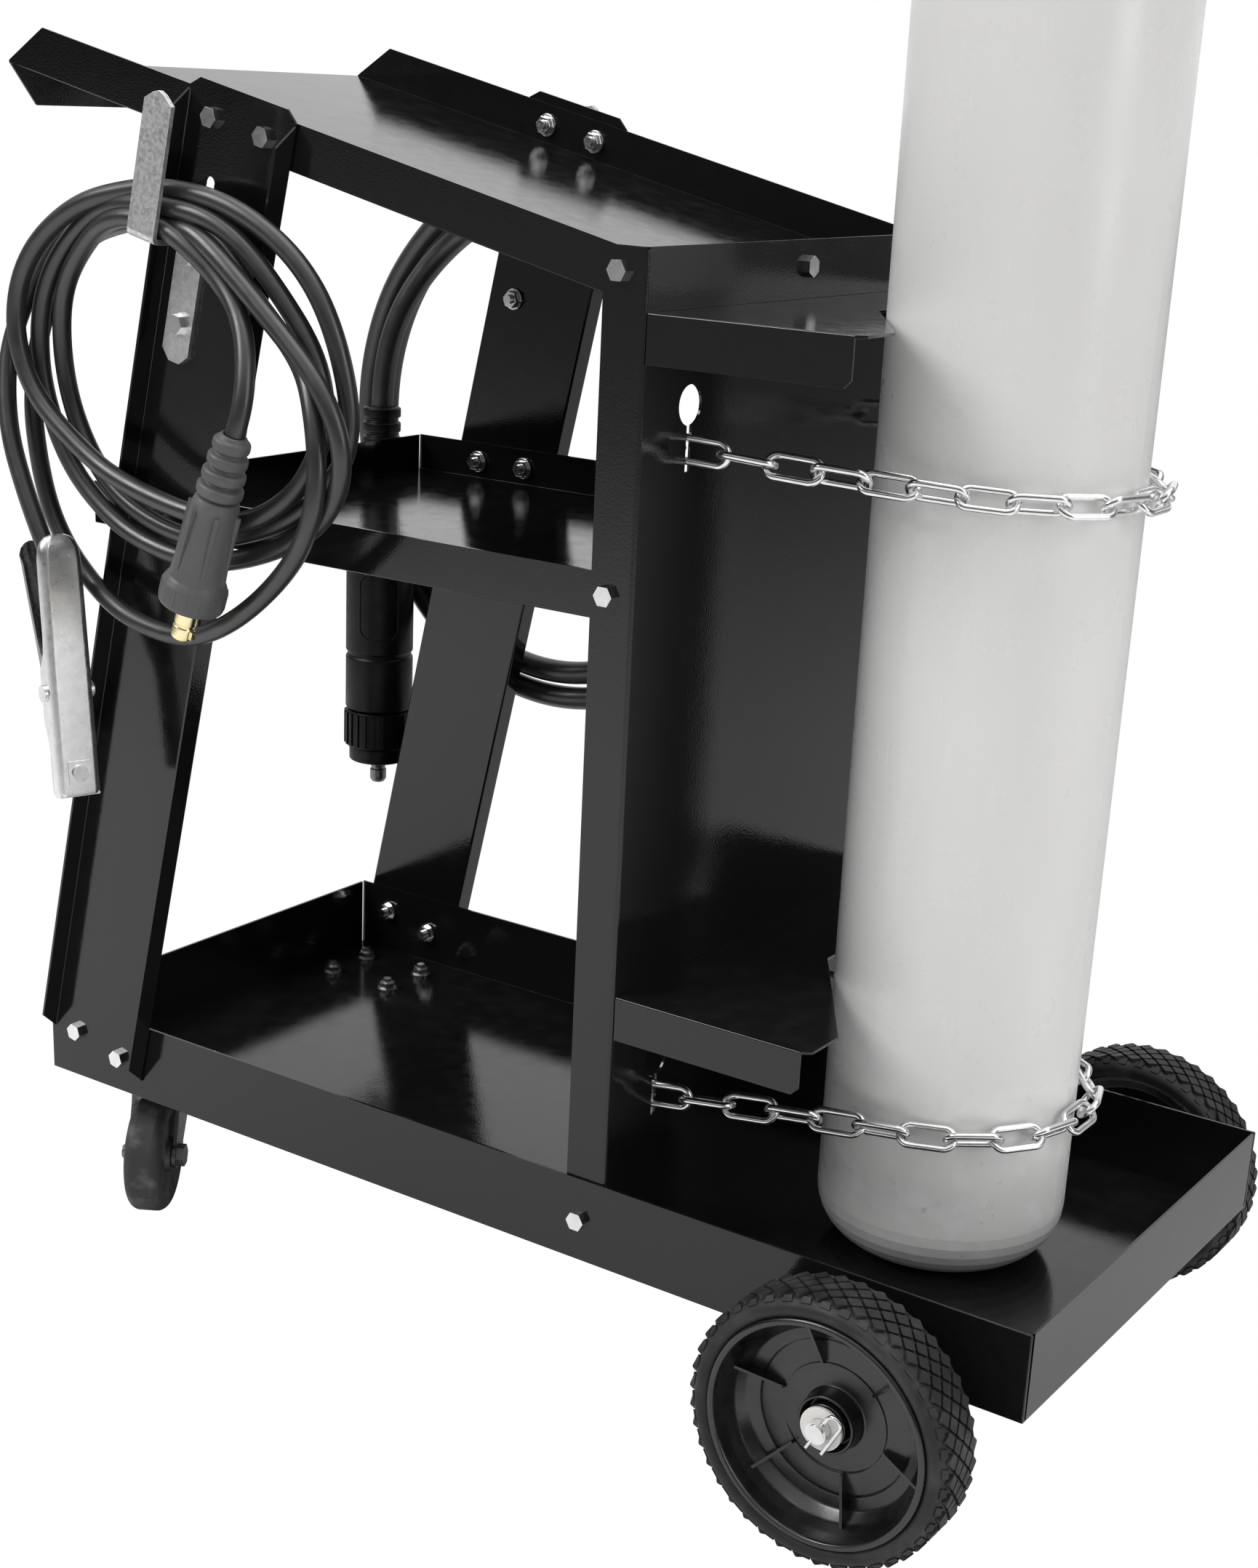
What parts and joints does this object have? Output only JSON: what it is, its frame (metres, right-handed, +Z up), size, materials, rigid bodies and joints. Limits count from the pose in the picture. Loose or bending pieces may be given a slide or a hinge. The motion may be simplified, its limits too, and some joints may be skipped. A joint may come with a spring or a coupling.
{
  "type": "welding trolley with gas cylinder",
  "caption": "Three-tier sheet-metal welding trolley on two wheels and two casters, with a chained gas cylinder and two cables hung on side hooks.",
  "frame": {"origin": "on the floor, at the middle of the trolley's box without the two hung leads", "axes": "+X towards the cylinder and the large wheels, +Y towards the side with the torch lead, +Z up"},
  "size_m": [0.7382, 0.4455, 1.0196],
  "materials": {
    "powder_coat": "semi-gloss black powder coat with a fine orange peel",
    "zinc_bar": "spangled zinc",
    "zinc_fasteners": "bright zinc plate",
    "wheel_rim": "moulded satin black",
    "wheel_tyre": "dark grey moulded rubber",
    "caster_steel": "dull pressed steel",
    "caster_rubber": "scuffed dark rubber",
    "chain_zinc": "bright zinc plate",
    "cylinder_paint": "satin light grey with scuffs",
    "valve_brass": "satin brass",
    "spindle_steel": "turned steel",
    "handwheel_plastic": "moulded",
    "cap_plastic": "moulded",
    "cable_rubber": "matte cable sheath",
    "plug_rubber": "matte moulded rubber",
    "pin_brass": "polished brass",
    "clamp_steel": "bright stamped steel",
    "connector_plastic": "moulded matte black",
    "torch_plastic": "moulded matte black",
    "trigger_plastic": "moulded red",
    "neck_chrome": "polished",
    "nozzle_copper": "turned copper"
  },
  "bodies": {
    "trolley_frame": {"bottom_tray": "powder_coat", "rear_panel": "powder_coat", "middle_shelf": "powder_coat", "top_tray": "powder_coat", "near_leg": "powder_coat", "far_leg": "powder_coat", "near_cable_hook": "zinc_bar", "far_cable_hook": "zinc_bar", "upper_cylinder_bracket": "powder_coat", "lower_cylinder_bracket": "powder_coat", "frame_bolts": "zinc_fasteners", "frame_nuts": "zinc_fasteners", "axle_brackets": "powder_coat", "wheel_axle": "zinc_fasteners", "axle_washers": "zinc_fasteners", "hairpin_clips": "zinc_fasteners", "caster_plates": "caster_steel", "caster_bolts": "zinc_fasteners", "caster_kingpins": "caster_steel", "upper_chain": "chain_zinc", "lower_chain": "chain_zinc", "earth_cable_coil": "cable_rubber", "earth_cable_loop": "cable_rubber", "earth_plug_tail": "cable_rubber", "earth_clamp_tail": "cable_rubber", "earth_plug_sleeve": "plug_rubber", "earth_plug_pin": "pin_brass", "clamp_front_jaw": "clamp_steel", "clamp_pivot": "clamp_steel", "clamp_spring": "clamp_steel", "clamp_contacts": "zinc_fasteners", "torch_cable_coil": "cable_rubber", "torch_connector_tail": "cable_rubber", "torch_handle_tail": "cable_rubber", "connector_body": "connector_plastic", "connector_pin": "connector_plastic", "torch_handle": "torch_plastic", "torch_neck": "neck_chrome", "torch_nozzle": "nozzle_copper", "torch_tip": "nozzle_copper"},
    "near_wheel": {"near_wheel_rim": "wheel_rim", "near_wheel_tyre": "wheel_tyre"},
    "far_wheel": {"far_wheel_rim": "wheel_rim", "far_wheel_tyre": "wheel_tyre"},
    "near_swivel": {"near_caster_fork": "caster_steel", "near_caster_axle": "caster_steel"},
    "near_roller": {"near_caster_wheel": "caster_rubber"},
    "far_swivel": {"far_caster_fork": "caster_steel", "far_caster_axle": "caster_steel"},
    "far_roller": {"far_caster_wheel": "caster_rubber"},
    "cylinder": {"gas_cylinder": "cylinder_paint", "neck_ring": "cylinder_paint", "cylinder_valve": "valve_brass", "outlet_cap": "cap_plastic"},
    "handwheel": {"valve_spindle": "spindle_steel", "valve_handwheel": "handwheel_plastic"},
    "clamp_jaw": {"clamp_back_jaw": "clamp_steel"},
    "connector_ring": {"connector_nut": "connector_plastic"},
    "trigger": {"torch_trigger": "trigger_plastic"}
  },
  "joints": [
    {"name": "near_wheel_spin", "type": "hinge", "parent": "trolley_frame", "child": "near_wheel", "pos_m": [0.27002, -0.1975, 0.076], "axis": [0, 1, 0], "continuous": true},
    {"name": "far_wheel_spin", "type": "hinge", "parent": "trolley_frame", "child": "far_wheel", "pos_m": [0.27002, 0.1975, 0.076], "axis": [0, 1, 0], "continuous": true},
    {"name": "near_caster_swivel", "type": "hinge", "parent": "trolley_frame", "child": "near_swivel", "pos_m": [-0.28998, -0.109, 0.08], "axis": [0, 0, 1], "continuous": true},
    {"name": "near_caster_roll", "type": "hinge", "parent": "near_swivel", "child": "near_roller", "pos_m": [-0.27453, -0.13472, 0.0375], "axis": [0.8572, 0.515, 0], "continuous": true},
    {"name": "far_caster_swivel", "type": "hinge", "parent": "trolley_frame", "child": "far_swivel", "pos_m": [-0.28998, 0.109, 0.08], "axis": [0, 0, 1], "continuous": true},
    {"name": "far_caster_roll", "type": "hinge", "parent": "far_swivel", "child": "far_roller", "pos_m": [-0.26454, 0.0931, 0.0375], "axis": [0.5299, 0.848, 0], "continuous": true},
    {"name": "cylinder_lift", "type": "slide", "parent": "trolley_frame", "child": "cylinder", "axis": [0, 0, 1], "range_m": [0, 0.25]},
    {"name": "handwheel_turn", "type": "hinge", "parent": "cylinder", "child": "handwheel", "pos_m": [0.22702, 0, 1.0036], "axis": [0, 0, 1], "range_deg": [0, 720]},
    {"name": "clamp_squeeze", "type": "hinge", "parent": "trolley_frame", "child": "clamp_jaw", "pos_m": [-0.27016, -0.2005, 0.36283], "axis": [0.3256, 0.9455, 0], "range_deg": [0, 9], "stiffness_Nm_per_rad": 2, "springref_deg": -8.59},
    {"name": "connector_ring_turn", "type": "hinge", "parent": "trolley_frame", "child": "connector_ring", "pos_m": [-0.33766, 0.165, 0.25783], "axis": [0, 0, 1], "continuous": true},
    {"name": "trigger_pull", "type": "hinge", "parent": "trolley_frame", "child": "trigger", "pos_m": [0.01825, 0.172, 0.4365], "axis": [0, 1, 0], "range_deg": [0, 5], "stiffness_Nm_per_rad": 0.3, "springref_deg": -2.86}
  ]
}
